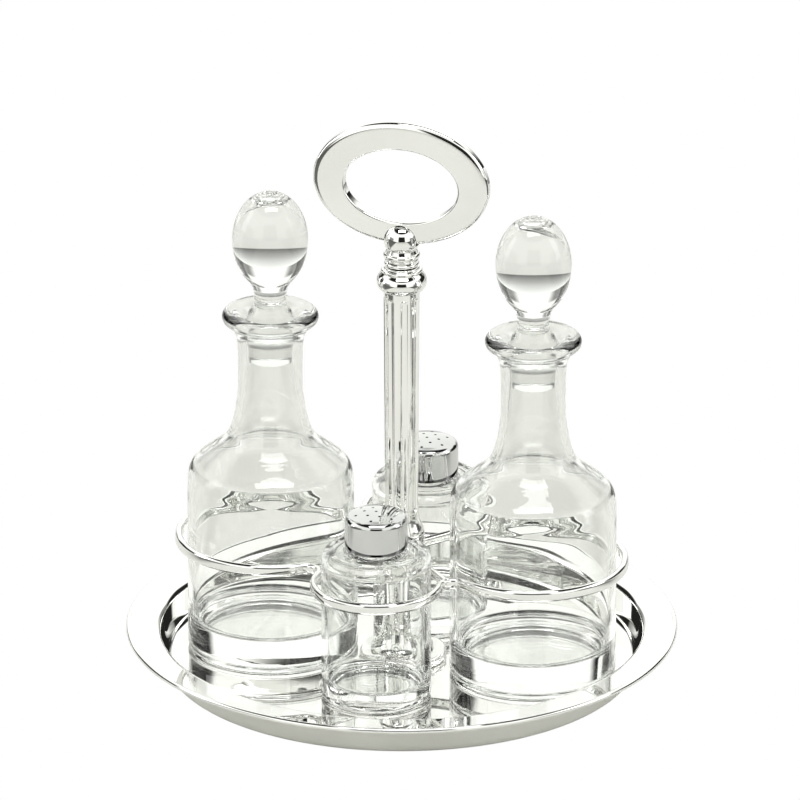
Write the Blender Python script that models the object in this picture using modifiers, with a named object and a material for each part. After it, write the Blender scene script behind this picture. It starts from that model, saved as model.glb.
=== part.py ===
"""Cruet set: a round tray with a handled column, a wire frame, two bottles and two shakers.

Lengths are in millimetres until they reach Blender, and heights are above the tray's floor.
X runs from the left bottle to the right one, Y from the front shaker to the back one.
"""

import math

import bmesh
import bpy

MM = 0.001
TOUCH = 0.2

TRAY_RADIUS = 115.5
TRAY_HEIGHT = 17.2
TRAY_FLOOR = 2.9
TRAY_SHEET = 1.5
TRAY_REST_RADIUS = 88.0
TRAY_WELL_RADIUS = 99.8
TRAY_CORNER = 5.0
TRAY_RIM_BEAD = 1.1

BOTTLE_X = 56.6
BOTTLE_RADIUS = 34.8
BOTTLE_WALL = 2.6
BOTTLE_BASE = 13.0
BOTTLE_LIP_RADIUS = 20.2
BOTTLE_LIP_Z = 148.6
BOTTLE_LIP_ROUND = 2.2

STOPPER_RADIUS = 15.85
STOPPER_MIDDLE_Z = 182.0
STOPPER_RISE = 20.8
STOPPER_FALL = 22.3
STOPPER_NECK_RADIUS = 6.8
STOPPER_FOOT_Z = 128.5

SHAKER_Y = 42.3
SHAKER_RADIUS = 22.9
SHAKER_WALL = 2.4
SHAKER_BASE = 6.8
SHAKER_SHOULDER_Z = 65.0
SHAKER_NECK_RADIUS = 11.0
SHAKER_BORE = 8.6
SHAKER_MOUTH_Z = 73.0

CAP_RADIUS = 13.2
CAP_SHEET = 1.0
CAP_SKIRT_Z = 66.3
CAP_TOP_Z = 82.0
CAP_DOME = 1.4
CAP_KNUCKLE = 2.6
CAP_HOLE_RADIUS = 0.6
CAP_HOLE_SPACING = 5.1
CAP_HOLE_REACH = 9.5

FRAME_Z = 48.8
FRAME_THICK = 3.0
FRAME_TALL = 5.0
FRAME_BOTTLE_X = 56.2
FRAME_BOTTLE_RADIUS = 38.9
FRAME_SHAKER_RADIUS = 26.2
FRAME_BEND_RADIUS = 6.0
ARM_THICK = 2.6
ARM_TALL = 4.4

FOOT_RADIUS = 18.8
FOOT_THICK = 4.0
STEM_RADIUS = 7.6
HUB_RADIUS = 9.6
HUB_BOTTOM_Z = 43.5
HUB_TOP_Z = 57.5
SHAFT_LOW_RADIUS = 6.9
SHAFT_TOP_RADIUS = 7.5
SHAFT_TOP_Z = 165.0
FLUTES = 8
FLUTE_RADIUS = 2.1
FLUTE_DEPTH = 0.8
FLUTE_LOW_Z = 66.0
FLUTE_TOP_Z = 163.3
CAPITAL_HEIGHT = 10.9
BEAD_RADIUS = 10.5
BEAD_ROUND = 4.6
BEAD_Z = 169.3
SMALL_BEAD_RADIUS = 7.7
SMALL_BEAD_Z = 181.0
BALL_RADIUS = 7.5
BALL_Z = 187.8

HANDLE_Z = 213.2
HANDLE_WIDTH = 75.4
HANDLE_HEIGHT = 53.8
HANDLE_HOLE_WIDTH = 49.0
HANDLE_HOLE_HEIGHT = 32.4
HANDLE_HOLE_DROP = 1.2
HANDLE_THICK = 5.6
HANDLE_ROUND = 0.9


def new_collection(name, parent):
    collection = bpy.data.collections.new(name)
    parent.children.link(collection)
    return collection


def material(name, colour, metallic, roughness):
    made = bpy.data.materials.new(name)
    made.use_nodes = True
    shader = made.node_tree.nodes["Principled BSDF"]
    shader.inputs["Base Color"].default_value = (*colour, 1.0)
    shader.inputs["Metallic"].default_value = metallic
    shader.inputs["Roughness"].default_value = roughness
    made.diffuse_color = (*colour, 1.0)
    return made


def silver(name):
    return material(name + "_silver", (0.80, 0.80, 0.78), 1.0, 0.06)


def glass(name):
    made = material(name + "_glass", (0.93, 0.96, 0.95), 0.0, 0.01)
    shader = made.node_tree.nodes["Principled BSDF"]
    shader.inputs["Transmission Weight"].default_value = 1.0
    shader.inputs["IOR"].default_value = 1.52
    return made


def add_to(collection, obj, parent=None, x=0.0, y=0.0, z=0.0):
    collection.objects.link(obj)
    obj.parent = parent
    obj.location = (x * MM, y * MM, z * MM)
    return obj


def empty(name, parent=None, x=0.0, y=0.0, z=0.0):
    return add_to(part, bpy.data.objects.new(name, None), parent, x, y, z)


def arc(centre_x, centre_y, radius, start, end, steps):
    """Points round part of a circle, from one angle to the other in degrees."""
    found = []
    for step in range(steps + 1):
        angle = math.radians(start + (end - start) * step / steps)
        found.append((centre_x + radius * math.cos(angle), centre_y + radius * math.sin(angle)))
    return found


def smooth(points, per_span):
    """A Catmull-Rom curve through hand-set points, with per_span steps from each to the next."""
    found = [points[0]]
    padded = [points[0], *points, points[-1]]
    for corner in zip(padded, padded[1:], padded[2:], padded[3:]):
        for step in range(1, per_span + 1):
            t = step / per_span
            found.append(tuple(
                b + 0.5 * t * ((c - a) + t * ((2 * a - 5 * b + 4 * c - d) + t * (3 * (b - c) + d - a)))
                for a, b, c, d in zip(*corner)
            ))
    return found


def turned(name, profile, steps, finish, parent, z=0.0, ring=False, into=None):
    """A turned piece. Its profile holds (r, z) and runs down the outer side; a ring's closes."""
    mesh = bpy.data.meshes.new(name)
    outline = bmesh.new()
    points = [outline.verts.new((r * MM, 0.0, height * MM)) for r, height in profile]
    for first, second in zip(points, points[1:]):
        outline.edges.new((first, second))
    if ring:
        outline.edges.new((points[-1], points[0]))
    outline.to_mesh(mesh)
    outline.free()
    made = add_to(into or part, bpy.data.objects.new(name, mesh), parent, z=z)
    screw = made.modifiers.new("turn", "SCREW")
    screw.steps = steps
    screw.render_steps = steps
    screw.use_merge_vertices = True
    screw.merge_threshold = 0.00001
    screw.use_smooth_shade = True
    if finish is not None:
        mesh.materials.append(finish)
    return made


def cut(piece, collection):
    boolean = piece.modifiers.new("cut", "BOOLEAN")
    boolean.operation = "DIFFERENCE"
    boolean.operand_type = "COLLECTION"
    boolean.collection = collection
    boolean.solver = "EXACT"


def cutter(obj, name, collection, parent):
    """Makes obj, fresh from a primitive, a hidden cutter."""
    for owner in list(obj.users_collection):
        owner.objects.unlink(obj)
    collection.objects.link(obj)
    obj.name = name
    obj.parent = parent
    obj.hide_render = True
    obj.display_type = "WIRE"


def make_tray():
    """Heights here are above the table. The floor is raised, so the tray stands on a flat ring."""
    wall = TRAY_WELL_RADIUS - TRAY_SHEET
    inner = TRAY_CORNER - TRAY_SHEET
    hollow = TRAY_FLOOR - TRAY_SHEET
    corner = TRAY_WELL_RADIUS - TRAY_CORNER
    bead = TRAY_RADIUS - TRAY_RIM_BEAD
    underside = TRAY_HEIGHT - TRAY_SHEET
    profile = [(0.0, TRAY_FLOOR)]
    profile += arc(corner, TRAY_FLOOR + inner, inner, -90, -8, 3)
    profile += arc(wall + 5.6, TRAY_HEIGHT - 3.4, 3.4, 172, 90, 3)
    profile += arc(bead, TRAY_HEIGHT - TRAY_SHEET / 2, TRAY_RIM_BEAD, 137, -137, 5)
    profile += arc(wall + 6.0, underside - 2.3, 2.3, 90, 172, 2)
    profile += arc(corner, TRAY_CORNER, TRAY_CORNER, -8, -90, 4)
    profile += [(TRAY_REST_RADIUS, 0.0), (TRAY_REST_RADIUS - hollow, hollow), (0.0, hollow)]
    turned("tray", profile, 48, silver("tray"), None)


def make_foot():
    profile = [(0.0, FOOT_THICK), (FOOT_RADIUS - 4.0, FOOT_THICK)]
    profile += arc(FOOT_RADIUS - 1.4, FOOT_THICK - 1.4, 1.4, 90, -50, 3)
    profile += arc(FOOT_RADIUS - 0.7, 0.8, 0.7, 50, -50, 1)
    profile += [(FOOT_RADIUS - 1.4, 0.0), (0.0, 0.0)]
    turned("column_foot", profile, 32, silver("column_foot"), stand, TOUCH)


def make_stem():
    """The short lower column, which swells into the foot below and the hub above."""
    low = FOOT_THICK + 2 * TOUCH
    top = HUB_BOTTOM_Z - TOUCH - low
    profile = [(0.0, top)]
    profile += arc(STEM_RADIUS + 0.9, top - 0.9, 0.9, 90, -90, 3)
    profile += smooth([
        (STEM_RADIUS, top - 3.6),
        (STEM_RADIUS - 0.6, top * 0.55),
        (STEM_RADIUS + 0.4, 9.0),
        (STEM_RADIUS + 3.0, 3.4),
        (STEM_RADIUS + 5.6, 1.4),
    ], 1)
    profile += [(STEM_RADIUS + 5.8, 0.0), (0.0, 0.0)]
    turned("column_stem", profile, 28, silver("column_stem"), stand, low)


def make_hub():
    """The collar that the frame's four arms are let into."""
    top = HUB_TOP_Z - HUB_BOTTOM_Z
    edge = HUB_RADIUS - 1.4
    profile = [(0.0, top)]
    profile += arc(edge, top - 1.4, 1.4, 90, 0, 2)
    profile += arc(edge, 1.4, 1.4, 0, -90, 2)
    profile += [(0.0, 0.0)]
    hub = turned("column_hub", profile, 28, silver("column_hub"), stand, HUB_BOTTOM_Z)
    pockets = new_collection("hub_pockets", cutters)
    reach = HUB_RADIUS + 1.4
    for name, angle in arm_angles().items():
        bpy.ops.mesh.primitive_cube_add(size=MM)
        pocket = bpy.context.object
        cutter(pocket, "pocket_" + name, pockets, stand)
        pocket.scale = (6.0, ARM_THICK + 2 * TOUCH, ARM_TALL + 2 * TOUCH)
        pocket.location = (reach * math.cos(angle) * MM, reach * math.sin(angle) * MM, FRAME_Z * MM)
        pocket.rotation_euler.z = angle
    cut(hub, pockets)


def make_shaft():
    low = HUB_TOP_Z + TOUCH
    top = SHAFT_TOP_Z - low
    profile = [(0.0, top), (SHAFT_TOP_RADIUS, top), (SHAFT_TOP_RADIUS, top - 3.0)]
    profile += smooth([
        (SHAFT_LOW_RADIUS, top * 0.45),
        (SHAFT_LOW_RADIUS, 12.0),
        (SHAFT_LOW_RADIUS + 0.7, 5.0),
        (SHAFT_LOW_RADIUS + 2.3, 0.8),
    ], 1)
    profile += [(SHAFT_LOW_RADIUS + 2.3, 0.0), (0.0, 0.0)]
    shaft = turned("column_shaft", profile, 48, silver("column_shaft"), stand, low)
    length = FLUTE_TOP_Z - FLUTE_LOW_Z
    groove = [(0.0, length)]
    groove += arc(0.0, length - FLUTE_RADIUS, FLUTE_RADIUS, 60, 0, 2)
    groove += arc(0.0, FLUTE_RADIUS, FLUTE_RADIUS, 0, -60, 2)
    groove += [(0.0, 0.0)]
    lean = math.atan((SHAFT_TOP_RADIUS - SHAFT_LOW_RADIUS) / length)
    reach = SHAFT_LOW_RADIUS + FLUTE_RADIUS - FLUTE_DEPTH
    flutes = new_collection("flutes", cutters)
    for index in range(FLUTES):
        angle = 2 * math.pi * (index + 0.5) / FLUTES
        flute = turned(f"flute_{index}", groove, 8, None, stand, FLUTE_LOW_Z, into=flutes)
        flute.location.x = reach * math.cos(angle) * MM
        flute.location.y = reach * math.sin(angle) * MM
        flute.rotation_euler = (0.0, lean, angle)
        flute.hide_render = True
        flute.display_type = "WIRE"
    cut(shaft, flutes)


def make_capital():
    """The big bead on top of the shaft, with a fillet over it."""
    low = SHAFT_TOP_Z + TOUCH
    top = CAPITAL_HEIGHT
    profile = [(0.0, top), (6.9, top), (7.5, top - 0.6), (7.5, top - 1.0)]
    profile += arc(7.9, top - 1.8, 0.8, 60, -60, 2)
    profile += arc(BEAD_RADIUS - BEAD_ROUND, BEAD_Z - low, BEAD_ROUND, 52, -62, 5)
    profile += [(7.9, 0.0), (0.0, 0.0)]
    turned("column_capital", profile, 28, silver("column_capital"), stand, low)


def make_finial():
    """The waist, the small bead and the slotted ball that holds the handle."""
    low = SHAFT_TOP_Z + CAPITAL_HEIGHT + 2 * TOUCH
    profile = [(0.0, BALL_Z - low + BALL_RADIUS)]
    profile += arc(0.0, BALL_Z - low, BALL_RADIUS, 70, -34, 6)
    profile += arc(SMALL_BEAD_RADIUS - 1.3, SMALL_BEAD_Z - low, 1.3, 70, -60, 3)
    profile += [(6.6, 3.3), (7.0, 2.9), (6.6, 2.3), (6.5, 1.9), (7.2, 1.2), (6.9, 0.4)]
    profile += [(6.4, 0.0), (0.0, 0.0)]
    finial = turned("finial_ball", profile, 32, silver("finial_ball"), stand, low)
    slots = new_collection("handle_slots", cutters)
    bpy.ops.mesh.primitive_cube_add(size=MM)
    slot = bpy.context.object
    cutter(slot, "handle_slot", slots, stand)
    depth = 2 * BALL_RADIUS
    slot.scale = (4 * BALL_RADIUS, HANDLE_THICK + 2 * TOUCH, depth)
    slot.location.z = (HANDLE_Z - HANDLE_HEIGHT / 2 - TOUCH + depth / 2) * MM
    cut(finial, slots)


def oval(curve, width, height, count, drop=0.0):
    spline = curve.splines.new("POLY")
    spline.points.add(count - 1)
    for index, point in enumerate(spline.points):
        angle = 2 * math.pi * index / count
        point.co.x = width / 2 * math.cos(angle) * MM
        point.co.y = (height / 2 * math.sin(angle) - drop) * MM
    spline.use_cyclic_u = True


def make_handle():
    curve = bpy.data.curves.new("handle_ring", "CURVE")
    curve.dimensions = "2D"
    curve.fill_mode = "BOTH"
    oval(curve, HANDLE_WIDTH, HANDLE_HEIGHT, 56)
    oval(curve, HANDLE_HOLE_WIDTH, HANDLE_HOLE_HEIGHT, 40, HANDLE_HOLE_DROP)
    curve.bevel_depth = HANDLE_ROUND * MM
    curve.bevel_resolution = 1
    curve.offset = -HANDLE_ROUND * MM
    curve.extrude = (HANDLE_THICK / 2 - HANDLE_ROUND) * MM
    curve.materials.append(silver("handle_ring"))
    handle = add_to(part, bpy.data.objects.new("handle_ring", curve), stand, z=HANDLE_Z)
    handle.rotation_euler.x = math.pi / 2


def bend_centre():
    """Centre of the frame's inward bend in the +X +Y quarter, tangent to both its loops."""
    to_bottle = FRAME_BOTTLE_RADIUS + FRAME_BEND_RADIUS
    to_shaker = FRAME_SHAKER_RADIUS + FRAME_BEND_RADIUS
    apart = math.hypot(FRAME_BOTTLE_X, SHAKER_Y)
    along = (to_bottle**2 - to_shaker**2 + apart**2) / (2 * apart)
    out = math.sqrt(to_bottle**2 - along**2)
    centre_x = FRAME_BOTTLE_X + (out * SHAKER_Y - along * FRAME_BOTTLE_X) / apart
    centre_y = (along * SHAKER_Y + out * FRAME_BOTTLE_X) / apart
    return centre_x, centre_y


def arm_angles():
    """The direction of each arm, from the column to one of the frame's inward bends."""
    centre_x, centre_y = bend_centre()
    angle = math.atan2(centre_y, centre_x)
    return {
        "front_left": angle - math.pi,
        "front_right": -angle,
        "back_left": math.pi - angle,
        "back_right": angle,
    }


def frame_route():
    """The frame's closed centre line, as half of it and then that half turned round."""
    centre_x, centre_y = bend_centre()
    bottle_turn = math.degrees(math.atan2(centre_y, centre_x - FRAME_BOTTLE_X))
    shaker_turn = math.degrees(math.atan2(centre_y - SHAKER_Y, centre_x))
    bend = FRAME_BEND_RADIUS
    half = arc(FRAME_BOTTLE_X, 0.0, FRAME_BOTTLE_RADIUS, -bottle_turn, bottle_turn, 24)
    half += arc(centre_x, centre_y, bend, bottle_turn - 180, shaker_turn - 180, 5)[1:]
    half += arc(0.0, SHAKER_Y, FRAME_SHAKER_RADIUS, shaker_turn, 180 - shaker_turn, 15)[1:]
    half += arc(-centre_x, centre_y, bend, -shaker_turn, -bottle_turn, 5)[1:-1]
    return half + [(-x, -y) for x, y in half]


def flat_bar(name, route, thick, tall, closed):
    """A bar with rounded edges that stands on edge along a level route."""
    curve = bpy.data.curves.new(name, "CURVE")
    curve.dimensions = "3D"
    curve.twist_mode = "Z_UP"
    curve.fill_mode = "FULL"
    curve.bevel_depth = thick / 2 * MM
    curve.bevel_resolution = 1
    curve.extrude = (tall - thick) / 2 * MM
    curve.use_fill_caps = True
    spline = curve.splines.new("POLY")
    spline.points.add(len(route) - 1)
    for point, (x, y) in zip(spline.points, route):
        point.co = (x * MM, y * MM, 0.0, 1.0)
    spline.use_cyclic_u = closed
    curve.materials.append(silver(name))
    return add_to(part, bpy.data.objects.new(name, curve), stand, z=FRAME_Z)


def make_frame():
    flat_bar("wire_frame", frame_route(), FRAME_THICK, FRAME_TALL, True)
    start = HUB_RADIUS - 1.6 + TOUCH
    end = math.hypot(*bend_centre()) - FRAME_BEND_RADIUS - FRAME_THICK / 2 - TOUCH
    for name, angle in arm_angles().items():
        arm = flat_bar("arm_" + name, [(start, 0.0), (end, 0.0)], ARM_THICK, ARM_TALL, False)
        arm.rotation_euler.z = angle


def bottle_profile():
    inside = BOTTLE_RADIUS - BOTTLE_WALL
    lip = BOTTLE_LIP_RADIUS - BOTTLE_LIP_ROUND
    profile = [(0.0, BOTTLE_BASE)]
    profile += arc(inside - 4.0, BOTTLE_BASE + 4.0, 4.0, -90, 0, 2)
    profile += smooth([
        (inside, 70.0),
        (31.4, 79.0),
        (28.6, 82.0),
        (17.4, 91.2),
        (13.8, 98.0),
        (11.2, 110.0),
        (9.2, 131.0),
    ], 1)
    profile += [(9.9, 145.0)]
    profile += smooth([(10.6, 146.6), (13.4, 149.2), (lip - 0.8, BOTTLE_LIP_Z + 1.9)], 1)
    profile += arc(lip, BOTTLE_LIP_Z, BOTTLE_LIP_ROUND, 60, -50, 3)
    profile += smooth([
        (17.4, 145.2),
        (15.1, 141.6),
        (13.9, 136.5),
        (13.5, 126.0),
        (13.7, 114.0),
        (15.2, 103.6),
        (17.4, 96.4),
        (20.6, 91.6),
        (30.4, 84.0),
        (33.2, 81.2),
        (34.5, 77.6),
        (BOTTLE_RADIUS, 72.0),
    ], 1)
    profile += arc(BOTTLE_RADIUS - 2.4, 2.4, 2.4, 0, -90, 2)
    profile += [(28.5, 0.0), (27.0, 0.8), (0.0, 0.8)]
    return profile


def stopper_profile():
    dimple = STOPPER_MIDDLE_Z + STOPPER_RISE - 2.6
    profile = [(0.0, dimple), (3.2, dimple + 0.8)]
    for angle in range(75, -61, -15):
        reach = STOPPER_RISE if angle > 0 else STOPPER_FALL
        turn = math.radians(angle)
        height = STOPPER_MIDDLE_Z + reach * math.sin(turn)
        profile.append((STOPPER_RADIUS * math.cos(turn), height))
    profile += [(STOPPER_NECK_RADIUS + 0.1, 159.4), (STOPPER_NECK_RADIUS - 0.1, 156.5)]
    profile += [(7.2, 152.6), (8.9, 149.9), (9.5, 147.6), (9.55, 145.0)]
    profile += [(8.7, STOPPER_FOOT_Z + 0.7), (8.0, STOPPER_FOOT_Z), (0.0, STOPPER_FOOT_Z)]
    return profile


def make_bottle(side, x):
    lift = empty(f"bottle_{side}_lift", stand, x=x)
    turned(f"bottle_{side}", bottle_profile(), 32, glass(f"bottle_{side}"), lift, TOUCH)
    pull = empty(f"stopper_{side}_lift", lift)
    turned(f"stopper_{side}", stopper_profile(), 24, glass(f"stopper_{side}"), pull, TOUCH)


def shaker_profile():
    inside = SHAKER_RADIUS - SHAKER_WALL
    shoulder = SHAKER_SHOULDER_Z
    neck = SHAKER_NECK_RADIUS
    profile = [(0.0, SHAKER_BASE)]
    profile += arc(inside - 3.0, SHAKER_BASE + 3.0, 3.0, -90, 0, 2)
    profile += arc(inside - 5.0, shoulder - 7.5, 5.0, 0, 85, 2)
    profile += [(SHAKER_BORE + 1.0, shoulder - 2.2), (SHAKER_BORE, shoulder - 1.0)]
    profile += [(SHAKER_BORE, SHAKER_MOUTH_Z - 0.5), (SHAKER_BORE + 0.6, SHAKER_MOUTH_Z)]
    profile += [(neck - 0.5, SHAKER_MOUTH_Z), (neck, SHAKER_MOUTH_Z - 0.5)]
    profile += [(neck, shoulder + 1.0), (CAP_RADIUS - 0.4, shoulder + 1.0)]
    profile += [(CAP_RADIUS + 0.3, shoulder + 0.2)]
    profile += arc(SHAKER_RADIUS - 4.0, shoulder - 4.0, 4.0, 90, 0, 3)
    profile += arc(SHAKER_RADIUS - 1.8, 1.8, 1.8, 0, -90, 2)
    profile += [(17.5, 0.0), (16.5, 0.5), (0.0, 0.5)]
    return profile


def cap_profile():
    """The outer dome and knuckle, down the skirt, and back up inside."""
    edge = CAP_RADIUS - CAP_KNUCKLE
    bulge = (edge**2 + CAP_DOME**2) / (2 * CAP_DOME)
    spread = math.degrees(math.asin(edge / bulge))
    dome = arc(0.0, CAP_TOP_Z - bulge, bulge, 90, 90 - spread, 2)
    dome[0] = (0.0, CAP_TOP_Z)
    inner_dome = arc(0.0, CAP_TOP_Z - bulge, bulge - CAP_SHEET, 90 - spread * 0.96, 90, 2)
    inner_dome[-1] = (0.0, CAP_TOP_Z - CAP_SHEET)
    knuckle = CAP_TOP_Z - CAP_DOME - CAP_KNUCKLE
    inside = CAP_RADIUS - CAP_SHEET
    profile = dome
    profile += arc(edge, knuckle, CAP_KNUCKLE, 68, 0, 3)
    profile += [(CAP_RADIUS, CAP_SKIRT_Z + 0.3), (CAP_RADIUS - 0.3, CAP_SKIRT_Z)]
    profile += [(inside, CAP_SKIRT_Z), (inside, knuckle)]
    profile += inner_dome
    return profile


def cap_holes():
    """Hole centres on a triangular lattice, as far out as the dome has room."""
    found = []
    for row in range(-2, 3):
        for column in range(-3, 4):
            x = CAP_HOLE_SPACING * (column + 0.5 * (row % 2))
            y = CAP_HOLE_SPACING * row * math.sqrt(3) / 2
            if math.hypot(x, y) < CAP_HOLE_REACH:
                found.append((x, y))
    return found


def make_shaker(side, y):
    lift = empty(f"shaker_{side}_lift", stand, y=y)
    turned(f"shaker_{side}", shaker_profile(), 28, glass(f"shaker_{side}"), lift, TOUCH)
    seal_lift = empty(f"cap_{side}_lift", lift)
    neck = SHAKER_MOUTH_Z + 0.4
    washer = [(SHAKER_BORE + 0.2, neck + 1.4), (CAP_RADIUS - 1.4, neck + 1.4)]
    washer += [(CAP_RADIUS - 1.4, neck), (SHAKER_BORE + 0.2, neck)]
    rubber = material(f"cap_seal_{side}_rubber", (0.85, 0.85, 0.82), 0.0, 0.6)
    turned(f"cap_seal_{side}", washer, 20, rubber, seal_lift, TOUCH, ring=True)
    turn = empty(f"cap_{side}_turn", seal_lift)
    cap = turned(f"cap_{side}", cap_profile(), 32, silver(f"cap_{side}"), turn, TOUCH)
    holes = new_collection(f"cap_{side}_holes", cutters)
    for index, (hole_x, hole_y) in enumerate(cap_holes()):
        bpy.ops.mesh.primitive_cylinder_add(vertices=6, radius=CAP_HOLE_RADIUS * MM, depth=6 * MM)
        hole = bpy.context.object
        cutter(hole, f"cap_{side}_hole_{index}", holes, turn)
        hole.location = (hole_x * MM, hole_y * MM, CAP_TOP_Z * MM)
    cut(cap, holes)


for old in list(bpy.data.objects):
    bpy.data.objects.remove(old, do_unlink=True)

part = new_collection("cruet_set", bpy.context.scene.collection)
cutters = new_collection("cutters", bpy.context.scene.collection)
cutters.hide_render = True
stand = empty("stand", z=TRAY_FLOOR)

make_tray()
make_foot()
make_stem()
make_hub()
make_shaft()
make_capital()
make_finial()
make_handle()
make_frame()
make_bottle("left", -BOTTLE_X)
make_bottle("right", BOTTLE_X)
make_shaker("front", -SHAKER_Y)
make_shaker("back", SHAKER_Y)
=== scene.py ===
"""The looks of the cruet set: silver tray, column and frame, glass bottles and shakers.

Lengths are in millimetres until they reach Blender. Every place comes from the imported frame,
and heights are above the tray's floor unless a comment says otherwise.
"""

import math

import bmesh
import bpy
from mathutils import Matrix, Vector


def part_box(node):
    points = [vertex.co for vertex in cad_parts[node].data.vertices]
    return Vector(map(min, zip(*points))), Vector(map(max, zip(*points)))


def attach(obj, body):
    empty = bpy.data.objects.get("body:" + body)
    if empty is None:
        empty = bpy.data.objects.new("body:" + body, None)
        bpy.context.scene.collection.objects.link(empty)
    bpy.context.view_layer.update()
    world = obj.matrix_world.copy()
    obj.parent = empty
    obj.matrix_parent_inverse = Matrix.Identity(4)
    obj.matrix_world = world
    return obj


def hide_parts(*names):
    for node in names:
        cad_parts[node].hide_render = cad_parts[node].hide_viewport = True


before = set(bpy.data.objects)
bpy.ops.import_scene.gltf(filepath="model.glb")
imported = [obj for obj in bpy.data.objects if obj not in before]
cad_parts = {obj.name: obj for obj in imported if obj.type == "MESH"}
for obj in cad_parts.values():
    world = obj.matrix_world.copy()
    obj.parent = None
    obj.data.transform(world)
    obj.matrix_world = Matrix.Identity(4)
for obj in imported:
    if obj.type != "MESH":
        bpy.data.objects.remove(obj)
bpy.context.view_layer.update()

MM = 0.001
TOUCH = 0.2
TRAY_STEPS = 320
ROUND_STEPS = 224
SMALL_STEPS = 144
HANDLE_STEPS = 240
SHARP_ANGLE = 50.0
WIRE_SHARP_ANGLE = 60.0
FLUTE_SHARP_ANGLE = 24.0

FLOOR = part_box("column_foot")[0].z / MM - TOUCH
TRAY_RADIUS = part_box("tray")[1].x / MM
TRAY_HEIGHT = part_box("tray")[1].z / MM
TRAY_SHEET = 1.5
TRAY_REST_RADIUS = 88.0
TRAY_WELL_RADIUS = 99.8
TRAY_CORNER = 5.0
TRAY_DRAFT = 8.0
TRAY_BEND = 3.4
TRAY_BEND_OUT = 5.6
TRAY_UNDER_BEND = 2.3
TRAY_UNDER_BEND_OUT = 6.0
TRAY_RIM_BEAD = 1.1
TRAY_RIM_TURN = 137.0

BOTTLE_WALL = 2.6
BOTTLE_RADIUS = 34.8
BOTTLE_BASE = 13.0
BOTTLE_INSIDE_ROUND = 4.0
BOTTLE_FOOT_ROUND = 2.4
BOTTLE_LIP_RADIUS = 20.2
BOTTLE_LIP_Z = 147.5
BOTTLE_LIP_ROUND = 2.7

STOPPER_RADIUS = 15.85
STOPPER_MIDDLE_Z = 182.0
STOPPER_RISE = 20.8
STOPPER_FALL = 22.3
STOPPER_NECK_RADIUS = 6.8
STOPPER_FOOT_Z = 128.5

SHAKER_RADIUS = 22.9
SHAKER_WALL = 2.4
SHAKER_BASE = 6.8
SHAKER_SHOULDER_Z = 65.0
SHAKER_NECK_RADIUS = 11.0
SHAKER_INSIDE_ROUND = 3.0
SHAKER_SHOULDER_ROUND = 4.0
SHAKER_FOOT_ROUND = 1.8
SHAKER_BORE = 8.6
SHAKER_MOUTH_Z = 73.0

CAP_RADIUS = 13.2
CAP_SHEET = 1.0
CAP_SKIRT_Z = 66.3
CAP_TOP_Z = 82.0
CAP_DOME = 1.4
CAP_KNUCKLE = 2.6
CAP_HOLE_RADIUS = 0.6
CAP_HOLE_SPACING = 5.1
CAP_HOLE_REACH = 9.5
SEAL_ROUND = 0.3

FRAME_Z = 48.8
FRAME_THICK = 3.0
FRAME_TALL = 5.0
FRAME_BOTTLE_RADIUS = 38.9
FRAME_SHAKER_RADIUS = 26.2
FRAME_BEND_RADIUS = 6.0
ARM_THICK = 2.6
ARM_TALL = 4.4
ARM_LET_IN = 1.6
POCKET_LENGTH = 6.0

FOOT_RADIUS = 18.8
FOOT_THICK = 4.0
FOOT_ROUND = 1.4
FOOT_BEAD = 0.7
STEM_RADIUS = 7.6
STEM_BEAD = 0.9
HUB_RADIUS = 9.6
HUB_ROUND = 1.4
HUB_BOTTOM_Z = 43.5
HUB_TOP_Z = 57.5
SHAFT_LOW_RADIUS = 6.9
SHAFT_TOP_RADIUS = 7.5
SHAFT_FLARE = 12.0
SHAFT_TOP_Z = 165.0
FLUTES = 8
FLUTE_RADIUS = 2.1
FLUTE_DEPTH = 0.8
FLUTE_STEPS = 14
FLUTE_LOW_Z = 66.0
FLUTE_TOP_Z = 163.3
CAPITAL_HEIGHT = 10.9
BEAD_RADIUS = 10.5
BEAD_ROUND = 4.6
BEAD_Z = 169.3
SMALL_BEAD_RADIUS = 7.7
SMALL_BEAD_ROUND = 1.3
SMALL_BEAD_Z = 181.0
BALL_RADIUS = 7.5
BALL_Z = 187.8

HANDLE_HOLE_WIDTH = 49.0
HANDLE_HOLE_HEIGHT = 32.4
HANDLE_HOLE_DROP = 1.2
HANDLE_ROUND = 0.9
HANDLE_SHOULDER_WIDTH = 3.0
HANDLE_SHOULDER_DEPTH = 1.7

CAMERA_AZIMUTH = math.radians(14.5)
CAMERA_ELEVATION = math.radians(22.0)
CAMERA_DISTANCE = 9.0
CAMERA_LENS = 971.1
CAMERA_SENSOR = 36.0
CAMERA_REACH = 100.0
AIM_HEIGHT = 115.6
AIM_SHIFT = -0.7

# The studio, in metres and degrees. Its front is the side that the camera stands on at rest.
ROOM_FRONT = (math.sin(CAMERA_AZIMUTH), -math.cos(CAMERA_AZIMUTH), 0.0)
ROOM_BACK = (-math.sin(CAMERA_AZIMUTH), math.cos(CAMERA_AZIMUTH), 0.0)
ROOM_RIGHT = (math.cos(CAMERA_AZIMUTH), math.sin(CAMERA_AZIMUTH), 0.0)
TABLE_RADIUS = 80.0
TABLE_EDGE = (0.60, 0.63)
TABLE_SIDE = (0.17, 0.25)
TABLE_SIDE_SPLAY = 0.6
TABLE_SIDE_BACK = (-0.02, 0.10)
TABLE_WHITE = (0.93, 0.93, 0.895)
TABLE_SHADE = (0.16, 0.16, 0.155)
SWEEP_GLOW = 1.14
WALL_TINT = (1.0, 1.01, 0.97, 1.0)
WALL_GLOW = 1.26
DARK_LOSS = 1.24
ZENITH_GLOW = 0.5
CEILING = (46.0, 54.0)
ZENITH = (76.0, 83.0)
PATCH_SOFT = 6.0
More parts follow.
